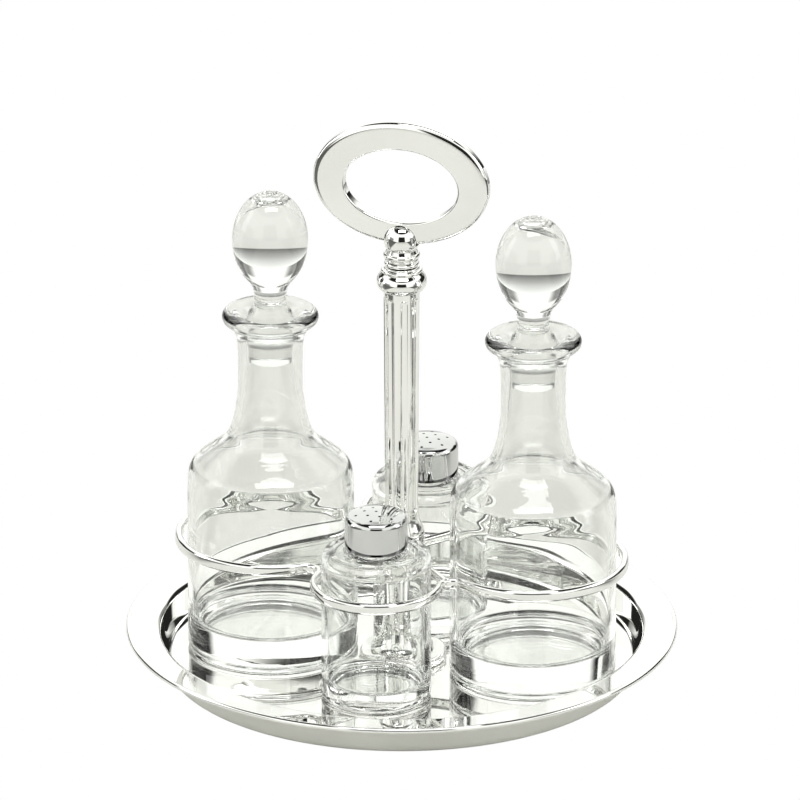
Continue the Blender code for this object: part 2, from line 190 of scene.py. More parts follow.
# Each dark patch of the walls: the turns from the front where it fades in, those where it fades
# out, and its lowest and highest elevation.
FRONT_GAP = ((-2.0, -1.0), (19.0, 24.0), (-12.0, 29.0))
BACK_CORNERS = ((96.0, 103.0), (140.0, 148.0), (-6.0, 25.0))
LOW_WALLS = ((48.0, 60.0), (150.0, 165.0), (-8.0, 12.0))
LOW_WALLS_DARK = 0.8
LIGHT_AIM = (0.0, 0.0, 0.1)
PURE_WHITE = (1.0, 1.0, 1.0, 1.0)

# Sockets of Blender's Mix node that are set by number, because its colour ones share their names.
COLOUR_A = 6
COLOUR_B = 7
COLOUR_OUT = 2

GLASS_COLOUR = (0.965, 0.970, 0.962)
LOOP_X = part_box("wire_frame")[1].x / MM - FRAME_BOTTLE_RADIUS - FRAME_THICK / 2
LOOP_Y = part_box("wire_frame")[1].y / MM - FRAME_SHAKER_RADIUS - FRAME_THICK / 2


def centre_of(name):
    """The middle of a CAD node's box, in millimetres."""
    low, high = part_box(name)
    return (low + high) / 2 / MM


# Curves and profiles


def arc(centre_x, centre_y, radius, start, end, steps=12):
    """Points round part of a circle, from one angle to the other in degrees."""
    found = []
    for step in range(steps + 1):
        angle = math.radians(start + (end - start) * step / steps)
        found.append((centre_x + radius * math.cos(angle), centre_y + radius * math.sin(angle)))
    return found


def curve_value(t, a, b, c, d):
    """The Catmull-Rom curve's value a share t of the way from b to c."""
    square = 2 * a - 5 * b + 4 * c - d
    cube = 3 * (b - c) + d - a
    return b + 0.5 * t * ((c - a) + t * (square + t * cube))


def smooth(points, per_span=8):
    """A Catmull-Rom curve through given points, with per_span steps from each to the next."""
    found = [points[0]]
    padded = [points[0], *points, points[-1]]
    for corner in zip(padded, padded[1:], padded[2:], padded[3:]):
        for step in range(1, per_span + 1):
            found.append(tuple(curve_value(step / per_span, *values) for values in zip(*corner)))
    return found


def supported(profile, closed=False, near=0.12, long=1.2):
    """Adds points close to both ends of each long straight run, so that it shades as straight."""
    ends = profile[1:] + ([profile[0]] if closed else [])
    found = []
    for (r0, z0), (r1, z1) in zip(profile, ends):
        length = math.hypot(r1 - r0, z1 - z0)
        found.append((r0, z0))
        if length > long:
            for part in (near / length, 0.5, 1 - near / length):
                found.append((r0 + (r1 - r0) * part, z0 + (z1 - z0) * part))
    if not closed:
        found.append(profile[-1])
    return found


def shade_smooth(mesh, sharp=SHARP_ANGLE):
    """Smooth faces, with a hard line wherever two of them meet at more than the angle sharp."""
    for face in mesh.polygons:
        face.use_smooth = True
    mesh.set_sharp_from_angle(angle=math.radians(sharp))


def finish_mesh(name, bm, materials, sharp=SHARP_ANGLE):
    """Cleans the mesh, and makes it an object of the scene."""
    bmesh.ops.remove_doubles(bm, verts=bm.verts, dist=1e-7)
    bmesh.ops.dissolve_degenerate(bm, edges=bm.edges, dist=1e-8)
    bmesh.ops.recalc_face_normals(bm, faces=bm.faces)
    mesh = bpy.data.meshes.new(name)
    bm.to_mesh(mesh)
    bm.free()
    shade_smooth(mesh, sharp)
    for finish in materials:
        mesh.materials.append(finish)
    made = bpy.data.objects.new(name, mesh)
    bpy.context.scene.collection.objects.link(made)
    return made


def declare(piece, body, slot, *nodes):
    """Says which body the piece moves with, and which CAD nodes it stands for."""
    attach(piece, body)
    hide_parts(*nodes)


def rings(bm, rows, loop, inner=None):
    """Joins rows of points into quads. Each row closes on itself, and with loop so do the rows.

    A row whose points all coincide becomes one point. The rows from inner[0] to inner[1] take the
    second material.
    """
    made = []
    for row in rows:
        if all((Vector(point) - Vector(row[0])).length < 1e-9 for point in row):
            made.append([bm.verts.new(row[0])])
        else:
            made.append([bm.verts.new(point) for point in row])
    pairs = list(zip(made, made[1:] + ([made[0]] if loop else [])))
    for index, (first, second) in enumerate(pairs):
        count = max(len(first), len(second))
        for step in range(count):
            after = (step + 1) % count
            corners = [first[step % len(first)], first[after % len(first)]]
            corners += [second[after % len(second)], second[step % len(second)]]
            unique = list(dict.fromkeys(corners))
            if len(unique) > 2:
                face = bm.faces.new(unique)
                face.material_index = 1 if inner and inner[0] <= index < inner[1] else 0


def turned(
    name, profile, materials, x=0.0, y=0.0, z=0.0, steps=ROUND_STEPS, loop=False, inner=None
):
    """A turned piece round the upright line through x, y. Its profile holds (r, height)."""
    bm = bmesh.new()
    turns = [2 * math.pi * step / steps for step in range(steps)]
    rows = [
        [
            ((x + r * math.cos(a)) * MM, (y + r * math.sin(a)) * MM, (FLOOR + z + height) * MM)
            for a in turns
        ]
        for r, height in profile
    ]
    rings(bm, rows, loop, inner)
    return finish_mesh(name, bm, materials)


def swept(name, route, thick, tall, closed, materials, z):
    """A bar with rounded edges that stands on edge along a level route, in millimetres."""
    half = thick / 2
    straight = (tall - thick) / 2
    section = arc(0.0, straight, half, 0, 180, 14) + arc(0.0, -straight, half, 180, 360, 14)
    section = section[:15] + [(-half, 0.0)] + section[15:] + [(half, 0.0)]
    rows = []
    count = len(route)
    for index, (x, y) in enumerate(route):
        before = route[(index - 1) % count] if closed or index else route[0]
        after = route[(index + 1) % count] if closed or index < count - 1 else route[-1]
        along = Vector((after[0] - before[0], after[1] - before[1])).normalized()
        across = (along.y, -along.x)
        rows.append([
            ((x + u * across[0]) * MM, (y + u * across[1]) * MM, (FLOOR + z + v) * MM)
            for u, v in section
        ])
    bm = bmesh.new()
    rings(bm, rows, closed)
    if not closed:
        bm.verts.ensure_lookup_table()
        bmesh.ops.holes_fill(bm, edges=[edge for edge in bm.edges if edge.is_boundary])
    return finish_mesh(name, bm, materials, WIRE_SHARP_ANGLE)


def carve(piece, cutters):
    """Cuts the cutters from a piece for good, and removes them."""
    for cutter in cutters:
        boolean = piece.modifiers.new("cut", "BOOLEAN")
        boolean.operation = "DIFFERENCE"
        boolean.object = cutter
        boolean.solver = "EXACT"
    bpy.context.view_layer.update()
    graph = bpy.context.evaluated_depsgraph_get()
    old = piece.data
    piece.data = bpy.data.meshes.new_from_object(piece.evaluated_get(graph))
    piece.data.name = old.name
    piece.modifiers.clear()
    bpy.data.meshes.remove(old)
    for cutter in cutters:
        bpy.data.objects.remove(cutter, do_unlink=True)
    shade_smooth(piece.data)


def block(name, size, place):
    bm = bmesh.new()
    bmesh.ops.create_cube(bm, size=1.0)
    bmesh.ops.scale(bm, vec=[side * MM for side in size], verts=bm.verts)
    bmesh.ops.translate(bm, vec=[side * MM for side in place], verts=bm.verts)
    return finish_mesh(name, bm, [])


# Materials


def node(tree, kind, inputs=None, **settings):
    """A new node. Each of its inputs is linked to a socket or set to a value."""
    made = tree.nodes.new(kind)
    for key, value in settings.items():
        setattr(made, key, value)
    for key, value in (inputs or {}).items():
        if isinstance(value, bpy.types.NodeSocket):
            tree.links.new(value, made.inputs[key])
        else:
            made.inputs[key].default_value = value
    return made


def mathed(tree, operation, *values):
    return node(tree, "ShaderNodeMath", dict(enumerate(values)), operation=operation).outputs[0]


def ranged(tree, value, low, high, to_low=0.0, to_high=1.0):
    """The value between low and high, eased onto the range from to_low to to_high."""
    inputs = {"Value": value, "From Min": low, "From Max": high}
    inputs.update({"To Min": to_low, "To Max": to_high})
    made = node(tree, "ShaderNodeMapRange", inputs, interpolation_type="SMOOTHSTEP")
    return made.outputs["Result"]


def blended(tree, factor, first, second):
    """The first colour where factor is 0, and the second where it is 1."""
    mix = node(tree, "ShaderNodeMix", {"Factor": factor}, data_type="RGBA")
    mix.inputs[COLOUR_A].default_value = (*first, 1.0)
    mix.inputs[COLOUR_B].default_value = (*second, 1.0)
    return mix.outputs[COLOUR_OUT]


def noise(tree, place, scale, detail=3.0):
    inputs = {"Vector": place, "Scale": scale, "Detail": detail, "Roughness": 0.55}
    return node(tree, "ShaderNodeTexNoise", inputs).outputs["Fac"]


def new_material(name):
    """A new material, its node tree, its shader and the place on the surface in metres."""
    made = bpy.data.materials.new(name)
    made.use_nodes = True
    tree = made.node_tree
    shader = tree.nodes["Principled BSDF"]
    place = node(tree, "ShaderNodeTexCoord").outputs["Object"]
    return made, tree, shader, place


def bumped(tree, shader, height, strength, distance):
    inputs = {"Height": height, "Strength": strength, "Distance": distance}
    tree.links.new(node(tree, "ShaderNodeBump", inputs).outputs["Normal"], shader.inputs["Normal"])


def plated(name, dark, light, rough_low, rough_high):
    """Polished plate: a faint bloom, hairline polishing marks and the softest waviness."""
    made, tree, shader, place = new_material(name)
    bloom = noise(tree, place, 38.0)
    colour = blended(tree, ranged(tree, bloom, 0.3, 0.7), dark, light)
    tree.links.new(colour, shader.inputs["Base Color"])
    shader.inputs["Metallic"].default_value = 1.0
    stretch = node(tree, "ShaderNodeMapping", {"Vector": place, "Scale": (60.0, 60.0, 900.0)})
    marks = noise(tree, stretch.outputs["Vector"], 6.0, 5.0)
    scratched = ranged(tree, marks, 0.45, 0.75)
    worn = mathed(tree, "MULTIPLY", scratched, ranged(tree, bloom, 0.35, 0.65))
    rough = ranged(tree, worn, 0.0, 1.0, rough_low, rough_high)
    tree.links.new(rough, shader.inputs["Roughness"])
    hairlines = mathed(tree, "MULTIPLY", marks, 0.02)
    wave = mathed(tree, "ADD", noise(tree, place, 90.0, 1.0), hairlines)
    bumped(tree, shader, wave, 0.04, 0.0002)
    return made


def clear_glass(name, colour, ground=None):
    """Clear soda glass. Where ground holds a height span in metres, its surface is frosted."""
    made, tree, shader, place = new_material(name)
    shader.inputs["Base Color"].default_value = (*colour, 1.0)
    shader.inputs["Transmission Weight"].default_value = 1.0
    shader.inputs["IOR"].default_value = 1.5
    film = noise(tree, place, 55.0, 4.0)
    rough = ranged(tree, film, 0.35, 0.8, 0.0, 0.012)
    if ground:
        height = node(tree, "ShaderNodeSeparateXYZ", {"Vector": place}).outputs["Z"]
        above = ranged(tree, height, ground[0], ground[0] + 0.0005)
        below = ranged(tree, height, ground[1], ground[1] + 0.0008, 1.0, 0.0)
        grit = ranged(tree, noise(tree, place, 1500.0, 2.0), 0.3, 0.7, 0.06, 0.14)
        frosted = mathed(tree, "MULTIPLY", mathed(tree, "MULTIPLY", above, below), grit)
        rough = mathed(tree, "MAXIMUM", rough, frosted)
    tree.links.new(rough, shader.inputs["Roughness"])
    bumped(tree, shader, noise(tree, place, 42.0, 1.0), 0.05, 0.0004)
    return made


def dull_inside_painted_shade(name):
    """The unpolished inside of a cap. Its near-black colour is painted shade, inside the cap and
    in its holes.
    """
    made, tree, shader, place = new_material(name)
    shader.inputs["Metallic"].default_value = 1.0
    grain = noise(tree, place, 900.0)
    # Near black: painted shade inside the cap and in its holes. The grain and roughness are the
    # metal's own.
    colour = blended(tree, grain, (0.05, 0.05, 0.05), (0.12, 0.12, 0.115))
    tree.links.new(colour, shader.inputs["Base Color"])
    tree.links.new(ranged(tree, grain, 0.2, 0.8, 0.35, 0.6), shader.inputs["Roughness"])
    return made


def soft_rubber(name):
    """Matt, milky seal rubber with a fine grain."""
    made, tree, shader, place = new_material(name)
    cloud = noise(tree, place, 400.0)
    colour = blended(tree, cloud, (0.72, 0.72, 0.69), (0.86, 0.86, 0.83))
    tree.links.new(colour, shader.inputs["Base Color"])
    tree.links.new(ranged(tree, cloud, 0.2, 0.8, 0.45, 0.65), shader.inputs["Roughness"])
    bumped(tree, shader, noise(tree, place, 2500.0), 0.2, 0.0001)
    return made


# The stand


def make_tray():
    """Heights here are above the table."""
    wall = TRAY_WELL_RADIUS - TRAY_SHEET
    corner = TRAY_WELL_RADIUS - TRAY_CORNER
    inner = TRAY_CORNER - TRAY_SHEET
    hollow = FLOOR - TRAY_SHEET
    bead = TRAY_RADIUS - TRAY_RIM_BEAD
    underside = TRAY_HEIGHT - TRAY_SHEET
    profile = [(0.0, FLOOR)]
    profile += arc(corner, FLOOR + inner, inner, -90, -TRAY_DRAFT, 16)
    profile += arc(
        wall + TRAY_BEND_OUT, TRAY_HEIGHT - TRAY_BEND, TRAY_BEND, 180 - TRAY_DRAFT, 90, 16
    )
    profile += arc(
        bead, TRAY_HEIGHT - TRAY_SHEET / 2, TRAY_RIM_BEAD, TRAY_RIM_TURN, -TRAY_RIM_TURN, 24
    )
    profile += arc(
        wall + TRAY_UNDER_BEND_OUT,
        underside - TRAY_UNDER_BEND,
        TRAY_UNDER_BEND,
        90,
        180 - TRAY_DRAFT,
        12,
    )
    profile += arc(corner, TRAY_CORNER, TRAY_CORNER, -TRAY_DRAFT, -90, 16)
    profile += [(TRAY_REST_RADIUS, 0.0), (TRAY_REST_RADIUS - hollow, hollow), (0.0, hollow)]
    tray = turned("tray_polished", supported(profile), [silver], z=-FLOOR, steps=TRAY_STEPS)
    declare(tray, "stand", "silver", "tray")


def make_foot():
    profile = [(0.0, FOOT_THICK), (FOOT_RADIUS - 4.0, FOOT_THICK)]
    profile += arc(FOOT_RADIUS - FOOT_ROUND, FOOT_THICK - FOOT_ROUND, FOOT_ROUND, 90, -50)
    profile += arc(FOOT_RADIUS - FOOT_BEAD, 0.8, FOOT_BEAD, 50, -50, 8)
    profile += [(FOOT_RADIUS - FOOT_ROUND, 0.0), (0.0, 0.0)]
    foot = turned("foot_polished", supported(profile), [silver], z=TOUCH, steps=SMALL_STEPS)
    declare(foot, "stand", "silver", "column_foot")


def make_stem():
    low = FOOT_THICK + 2 * TOUCH
    top = HUB_BOTTOM_Z - TOUCH - low
    profile = [(0.0, top)]
    profile += arc(STEM_RADIUS + STEM_BEAD, top - STEM_BEAD, STEM_BEAD, 90, -90)
    profile += smooth([
        (STEM_RADIUS, top - 3.6),
        (STEM_RADIUS - 0.6, top * 0.55),
        (STEM_RADIUS + 0.4, 9.0),
        (STEM_RADIUS + 3.0, 3.4),
        (STEM_RADIUS + 5.6, 1.4),
    ])
    profile += [(STEM_RADIUS + 5.8, 0.0), (0.0, 0.0)]
    stem = turned("stem_polished", supported(profile), [silver], z=low, steps=SMALL_STEPS)
    declare(stem, "stand", "silver", "column_stem")


def make_hub():
    top = HUB_TOP_Z - HUB_BOTTOM_Z
    edge = HUB_RADIUS - HUB_ROUND
    profile = [(0.0, top)]
    profile += arc(edge, top - HUB_ROUND, HUB_ROUND, 90, 0)
    profile += arc(edge, HUB_ROUND, HUB_ROUND, 0, -90)
    profile += [(0.0, 0.0)]
    hub = turned("hub_polished", supported(profile), [silver], z=HUB_BOTTOM_Z, steps=SMALL_STEPS)
    pockets = []
    reach = HUB_RADIUS - ARM_LET_IN + POCKET_LENGTH / 2
    size = (POCKET_LENGTH, ARM_THICK + 2 * TOUCH, ARM_TALL + 2 * TOUCH)
    for angle in arm_angles().values():
        pocket = block("pocket", size, (0.0, 0.0, 0.0))
        pocket.location = (
            reach * math.cos(angle) * MM,
            reach * math.sin(angle) * MM,
            (FLOOR + FRAME_Z) * MM,
        )
        pocket.rotation_euler.z = angle
        pockets.append(pocket)
    carve(hub, pockets)
    declare(hub, "stand", "silver", "column_hub")


def fluted(radius, height, count):
    """One level row of the shaft as (radius, angle), cut in by the flutes at that height.

    Each flute is cut by an upright round bar with ball ends, and takes count steps across.
    """
    gap = min(height - FLUTE_LOW_Z, FLUTE_TOP_Z - height)
    bite = FLUTE_RADIUS
    if gap < FLUTE_RADIUS:
        bite = math.sqrt(max(FLUTE_RADIUS**2 - (FLUTE_RADIUS - max(gap, 0.0)) ** 2, 0.0))
    centre = radius + FLUTE_RADIUS - FLUTE_DEPTH
    full = (radius**2 + centre**2 - FLUTE_RADIUS**2) / (2 * radius * centre)
    edge = math.acos(min(full, 1.0))
    period = 2 * math.pi / FLUTES
    row = []
    for flute in range(FLUTES):
        middle = period * (flute + 0.5)
        inside = [edge * (2 * step / count - 1) for step in range(count + 1)]
        land = [edge + (period - 2 * edge) * step / 6 for step in range(1, 6)]
        for turn in inside + land:
            reach = centre * math.sin(turn)
            depth = radius
            if abs(turn) < edge * 0.999 and abs(reach) < bite and gap > 0:
                depth = min(radius, centre * math.cos(turn) - math.sqrt(bite**2 - reach**2))
            row.append((depth, middle + turn))
    return row


def make_shaft():
    low = HUB_TOP_Z + TOUCH
    top = SHAFT_TOP_Z - low
    lower = smooth([
        (SHAFT_LOW_RADIUS, SHAFT_FLARE),
        (SHAFT_LOW_RADIUS + 0.7, 5.0),
        (SHAFT_LOW_RADIUS + 2.3, 0.8),
        (SHAFT_LOW_RADIUS + 2.3, 0.0),
    ])
    spans = [0.0, 0.15, 0.4, 0.8, 1.2, 1.6, 2.0, 2.4, 3.0]
    reach = FLUTE_TOP_Z - FLUTE_LOW_Z
    heights = [FLUTE_LOW_Z + 2.4 + (reach - 4.8) * step / 24 for step in range(25)]
    heights += [FLUTE_LOW_Z + span for span in spans] + [FLUTE_TOP_Z - span for span in spans]
    heights += [SHAFT_TOP_Z - span for span in (0.0, 0.15, 3.0)]
    heights += [low + height for _, height in lower]
    rows = []
    for height in sorted(set(round(height, 3) for height in heights), reverse=True):
        local = height - low
        if local <= SHAFT_FLARE:
            radius = min(lower, key=lambda point: abs(point[1] - local))[0]
        else:
            part = min(max((height - FLUTE_LOW_Z) / reach, 0.0), 1.0)
            radius = SHAFT_LOW_RADIUS + (SHAFT_TOP_RADIUS - SHAFT_LOW_RADIUS) * part
        row = fluted(radius, height, FLUTE_STEPS)
        z = (FLOOR + height) * MM
        rows.append([(r * math.cos(a) * MM, r * math.sin(a) * MM, z) for r, a in row])
    top_centre, low_centre = [
        [(0.0, 0.0, row[0][2])] * len(row) for row in (rows[0], rows[-1])
    ]
    rows = [top_centre, *rows, low_centre]
    bm = bmesh.new()
    rings(bm, rows, False)
    shaft = finish_mesh("shaft_polished", bm, [silver], FLUTE_SHARP_ANGLE)
    declare(shaft, "stand", "silver", "column_shaft")


def make_capital():
    low = SHAFT_TOP_Z + TOUCH
    top = CAPITAL_HEIGHT
    profile = [(0.0, top)]
    profile += arc(6.9, top - 0.6, 0.6, 90, 0, 8)
    profile += [(7.55, top - 0.9)]
    profile += arc(7.9, top - 1.8, 0.8, 75, -70, 16)
    profile += arc(BEAD_RADIUS - BEAD_ROUND, BEAD_Z - low, BEAD_ROUND, 50, -62, 32)
    profile += [(7.9, 0.0), (0.0, 0.0)]
    capital = turned("capital_polished", supported(profile), [silver], z=low, steps=SMALL_STEPS)
    declare(capital, "stand", "silver", "column_capital")


def make_finial():
    low = SHAFT_TOP_Z + CAPITAL_HEIGHT + 2 * TOUCH
    profile = [(0.0, BALL_Z - low + BALL_RADIUS)]
    profile += arc(0.0, BALL_Z - low, BALL_RADIUS, 86, -34, 40)
    bead = SMALL_BEAD_ROUND
    profile += arc(SMALL_BEAD_RADIUS - bead, SMALL_BEAD_Z - low, bead, 74, -74, 16)
    profile += arc(6.5, 2.9, 0.5, 60, -70, 10)
    profile += arc(6.5, 1.1, 0.8, 70, -60, 12)
    profile += [(6.4, 0.0), (0.0, 0.0)]
    finial = turned("finial_polished", supported(profile), [silver], z=low, steps=SMALL_STEPS)
    handle_low, handle_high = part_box("handle_ring")
    thick = (handle_high.y - handle_low.y) / MM
    depth = 2 * BALL_RADIUS
    size = (4 * BALL_RADIUS, thick + 2 * TOUCH, depth)
    slot = block("slot", size, (0.0, 0.0, handle_low.z / MM - TOUCH + depth / 2))
    carve(finial, [slot])
    declare(finial, "stand", "silver", "finial_ball")


def make_handle():
    """An oval ring, flat on both faces, with its edges rounded over."""
    low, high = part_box("handle_ring")
    size = (high - low) / MM
    middle = (low + high) / 2 / MM
    half = size.y / 2
    edge = HANDLE_ROUND
    shoulder = Vector((HANDLE_SHOULDER_WIDTH, HANDLE_SHOULDER_DEPTH))
    rows = []
    for step in range(HANDLE_STEPS):
        turn = 2 * math.pi * step / HANDLE_STEPS
        outer = Vector((size.x / 2 * math.cos(turn), size.z / 2 * math.sin(turn)))
        inner = Vector((
            HANDLE_HOLE_WIDTH / 2 * math.cos(turn),
            HANDLE_HOLE_HEIGHT / 2 * math.sin(turn) - HANDLE_HOLE_DROP,
        ))
        across = (outer - inner).length
        front = [
            (across - shoulder.x * (1 - u), half - shoulder.y * (1 - v))
            for u, v in arc(0.0, 0.0, 1.0, 0, 90, 16)
        ]
        section = front + arc(edge, half - edge, edge, 90, 180, 8)
        section += [(u, -v) for u, v in reversed(section)]
        out = (outer - inner).normalized()
        rows.append([
            (
                (middle.x + inner.x + out.x * u) * MM,
                (middle.y + v) * MM,
                (middle.z + inner.y + out.y * u) * MM,
            )
            for u, v in supported(section, True, 0.1, 1.0)
        ])
    bm = bmesh.new()
    rings(bm, rows, True)
    handle = finish_mesh("handle_polished", bm, [silver])
    declare(handle, "stand", "silver", "handle_ring")


def bend_centre():
    """Centre of the frame's inward bend in the +X +Y quarter, tangent to both its loops."""
    to_bottle = FRAME_BOTTLE_RADIUS + FRAME_BEND_RADIUS
    to_shaker = FRAME_SHAKER_RADIUS + FRAME_BEND_RADIUS
    apart = math.hypot(LOOP_X, LOOP_Y)
    along = (to_bottle**2 - to_shaker**2 + apart**2) / (2 * apart)
    out = math.sqrt(to_bottle**2 - along**2)
    centre_x = LOOP_X + (out * LOOP_Y - along * LOOP_X) / apart
    centre_y = (along * LOOP_Y + out * LOOP_X) / apart
    return centre_x, centre_y


def arm_angles():
    """The direction of each arm, from the column to one of the frame's inward bends."""
    centre_x, centre_y = bend_centre()
    angle = math.atan2(centre_y, centre_x)
    return {
        "front_left": angle - math.pi,
        "front_right": -angle,
        "back_left": math.pi - angle,
        "back_right": angle,
    }


def frame_route():
    """The frame's closed centre line, as half of it and then that half turned round."""
    centre_x, centre_y = bend_centre()
    bottle_turn = math.degrees(math.atan2(centre_y, centre_x - LOOP_X))
    shaker_turn = math.degrees(math.atan2(centre_y - LOOP_Y, centre_x))
    bend = FRAME_BEND_RADIUS
    half = arc(LOOP_X, 0.0, FRAME_BOTTLE_RADIUS, -bottle_turn, bottle_turn, 120)
    half += arc(centre_x, centre_y, bend, bottle_turn - 180, shaker_turn - 180, 24)[1:]
    half += arc(0.0, LOOP_Y, FRAME_SHAKER_RADIUS, shaker_turn, 180 - shaker_turn, 90)[1:]
    half += arc(-centre_x, centre_y, bend, -shaker_turn, -bottle_turn, 24)[1:-1]
    return half + [(-x, -y) for x, y in half]


def make_frame():
    wire = swept("wire_polished", frame_route(), FRAME_THICK, FRAME_TALL, True, [silver], FRAME_Z)
    declare(wire, "stand", "silver", "wire_frame")
    start = HUB_RADIUS - ARM_LET_IN + TOUCH
    end = math.hypot(*bend_centre()) - FRAME_BEND_RADIUS - FRAME_THICK / 2 - TOUCH
    for name, angle in arm_angles().items():
        route = [
            (reach * math.cos(angle), reach * math.sin(angle))
            for reach in (start, start + 0.1, (start + end) / 2, end - 0.1, end)
        ]
        arm = swept(f"arm_{name}_polished", route, ARM_THICK, ARM_TALL, False, [silver], FRAME_Z)
        declare(arm, "stand", "silver", "arm_" + name)


# Glass


def bottle_profile():
    inside = BOTTLE_RADIUS - BOTTLE_WALL
    lip = BOTTLE_LIP_RADIUS - BOTTLE_LIP_ROUND
    profile = [(0.0, BOTTLE_BASE + 0.5), (8.0, BOTTLE_BASE + 0.45), (18.0, BOTTLE_BASE + 0.2)]
    corner = BOTTLE_INSIDE_ROUND
    profile += arc(inside - corner, BOTTLE_BASE + corner, corner, -90, 0)
    profile += smooth([
        (inside, 30.0),
        (inside, 60.0),
        (inside, 72.0),
        (31.4, 79.0),
        (28.6, 82.0),
        (17.4, 91.2),
        (13.8, 98.0),
        (11.2, 110.0),
        (9.2, 131.0),
        (9.9, 145.0),
        (10.6, 147.0),
        (13.2, 149.1),
        (lip - 1.0, BOTTLE_LIP_Z + 2.6),
    ])
    profile += arc(lip, BOTTLE_LIP_Z, BOTTLE_LIP_ROUND, 80, -50, 20)
    profile += smooth([
        (17.2, 144.2),
        (15.1, 141.0),
        (13.9, 136.5),
        (13.5, 126.0),
        (13.7, 114.0),
        (15.2, 103.6),
        (17.4, 96.4),
        (20.6, 91.6),
        (26.0, 87.3),
        (30.6, 83.8),
        (33.4, 80.6),
        (34.6, 76.6),
        (BOTTLE_RADIUS, 71.0),
        (BOTTLE_RADIUS, 60.0),
    ])
    foot = BOTTLE_FOOT_ROUND
    profile += arc(BOTTLE_RADIUS - foot, foot, foot, 0, -90)
    profile += [(28.5, 0.0)]
    profile += smooth([(28.0, 0.15), (27.0, 0.7), (24.0, 1.0), (0.0, 1.3)])
    return supported(profile, long=2.0)


def stopper_profile():
    top = STOPPER_MIDDLE_Z + STOPPER_RISE
    profile = smooth([
        (0.0, top - 2.7),
        (1.6, top - 2.55),
        (3.0, top - 2.05),
        (4.1, top - 1.4),
        (5.2, top - 1.15),
    ])
    for angle in range(67, -59, -4):
        reach = STOPPER_RISE if angle > 0 else STOPPER_FALL
        turn = math.radians(angle)
        height = STOPPER_MIDDLE_Z + reach * math.sin(turn)
        profile.append((STOPPER_RADIUS * math.cos(turn), height))
    profile += smooth([
        (7.35, 160.6),
        (STOPPER_NECK_RADIUS, 158.0),
        (STOPPER_NECK_RADIUS - 0.15, 155.6),
        (7.3, 152.4),
        (8.9, 149.9),
        (9.5, 147.6),
        (9.55, 145.0),
    ])
    profile += [(8.7, STOPPER_FOOT_Z + 0.7)]
    profile += arc(8.0, STOPPER_FOOT_Z + 0.7, 0.7, 0, -90, 6)
    profile += [(0.0, STOPPER_FOOT_Z)]
    return supported(profile, long=2.0)


def make_bottle(side):
    x = centre_of(f"bottle_{side}").x
    frost = ((FLOOR + STOPPER_FOOT_Z + 1.0) * MM, (FLOOR + 147.0) * MM)
    bottle = turned(f"bottle_{side}_glass", bottle_profile(), [bottle_glass], x=x, z=TOUCH)
    declare(bottle, f"bottle_{side}", "bottle_glass", f"bottle_{side}")
    finish = clear_glass(f"stopper_{side}_clear", GLASS_COLOUR, frost)
    stopper = turned(
        f"stopper_{side}_glass", stopper_profile(), [finish], x=x, z=TOUCH, steps=SMALL_STEPS
    )
    declare(stopper, f"stopper_{side}", "stopper_glass", f"stopper_{side}")


def shaker_profile():
    inside = SHAKER_RADIUS - SHAKER_WALL
    shoulder = SHAKER_SHOULDER_Z
    neck = SHAKER_NECK_RADIUS
    profile = [(0.0, SHAKER_BASE + 0.3), (8.0, SHAKER_BASE + 0.25)]
    corner = SHAKER_INSIDE_ROUND
    profile += arc(inside - corner, SHAKER_BASE + corner, corner, -90, 0)
    profile += arc(inside - 5.0, shoulder - 7.5, 5.0, 0, 85)
    profile += arc(SHAKER_BORE + 1.2, shoulder - 1.2, 1.2, 260, 180, 8)
    profile += [(SHAKER_BORE, SHAKER_MOUTH_Z - 0.5)]
    profile += arc(SHAKER_BORE + 0.6, SHAKER_MOUTH_Z - 0.6, 0.6, 180, 90, 6)
    profile += arc(neck - 0.5, SHAKER_MOUTH_Z - 0.5, 0.5, 90, 0, 6)
    profile += [(neck, shoulder + 1.0), (CAP_RADIUS - 0.4, shoulder + 1.0)]
    profile += [(CAP_RADIUS + 0.3, shoulder + 0.3), (CAP_RADIUS + 1.0, shoulder)]
    outer = SHAKER_SHOULDER_ROUND
    profile += arc(SHAKER_RADIUS - outer, shoulder - outer, outer, 90, 0, 16)
    foot = SHAKER_FOOT_ROUND
    profile += arc(SHAKER_RADIUS - foot, foot, foot, 0, -90)
    profile += [(17.5, 0.0), (16.5, 0.5), (0.0, 0.7)]
    return supported(profile, long=2.0)


def cap_profile():
    """The outer dome and knuckle, down the skirt, and the place where the inside starts."""
    edge = CAP_RADIUS - CAP_KNUCKLE
    bulge = (edge**2 + CAP_DOME**2) / (2 * CAP_DOME)
    spread = math.degrees(math.asin(edge / bulge))
    dome = arc(0.0, CAP_TOP_Z - bulge, bulge, 90, 90 - spread, 20)
    dome[0] = (0.0, CAP_TOP_Z)
    inner_dome = arc(0.0, CAP_TOP_Z - bulge, bulge - CAP_SHEET, 90 - spread * 0.96, 90, 12)
    inner_dome[-1] = (0.0, CAP_TOP_Z - CAP_SHEET)
    knuckle = CAP_TOP_Z - CAP_DOME - CAP_KNUCKLE
    inside = CAP_RADIUS - CAP_SHEET
    profile = dome
    profile += arc(edge, knuckle, CAP_KNUCKLE, 90 - spread, 0, 16)[1:]
    profile += [(CAP_RADIUS, knuckle - 0.15), (CAP_RADIUS, CAP_SKIRT_Z + 0.45)]
    profile += arc(CAP_RADIUS - 0.3, CAP_SKIRT_Z + 0.3, 0.3, 0, -90, 6)
    start = len(profile)
    profile += [(inside, CAP_SKIRT_Z), (inside, knuckle)]
    return profile + inner_dome, start


def cap_holes():
    """Hole centres on a triangular lattice, as far out as the dome has room."""
    found = []
    for row in range(-2, 3):
        for column in range(-3, 4):
            x = CAP_HOLE_SPACING * (column + 0.5 * (row % 2))
            y = CAP_HOLE_SPACING * row * math.sqrt(3) / 2
            if math.hypot(x, y) < CAP_HOLE_REACH:
                found.append((x, y))
    return found


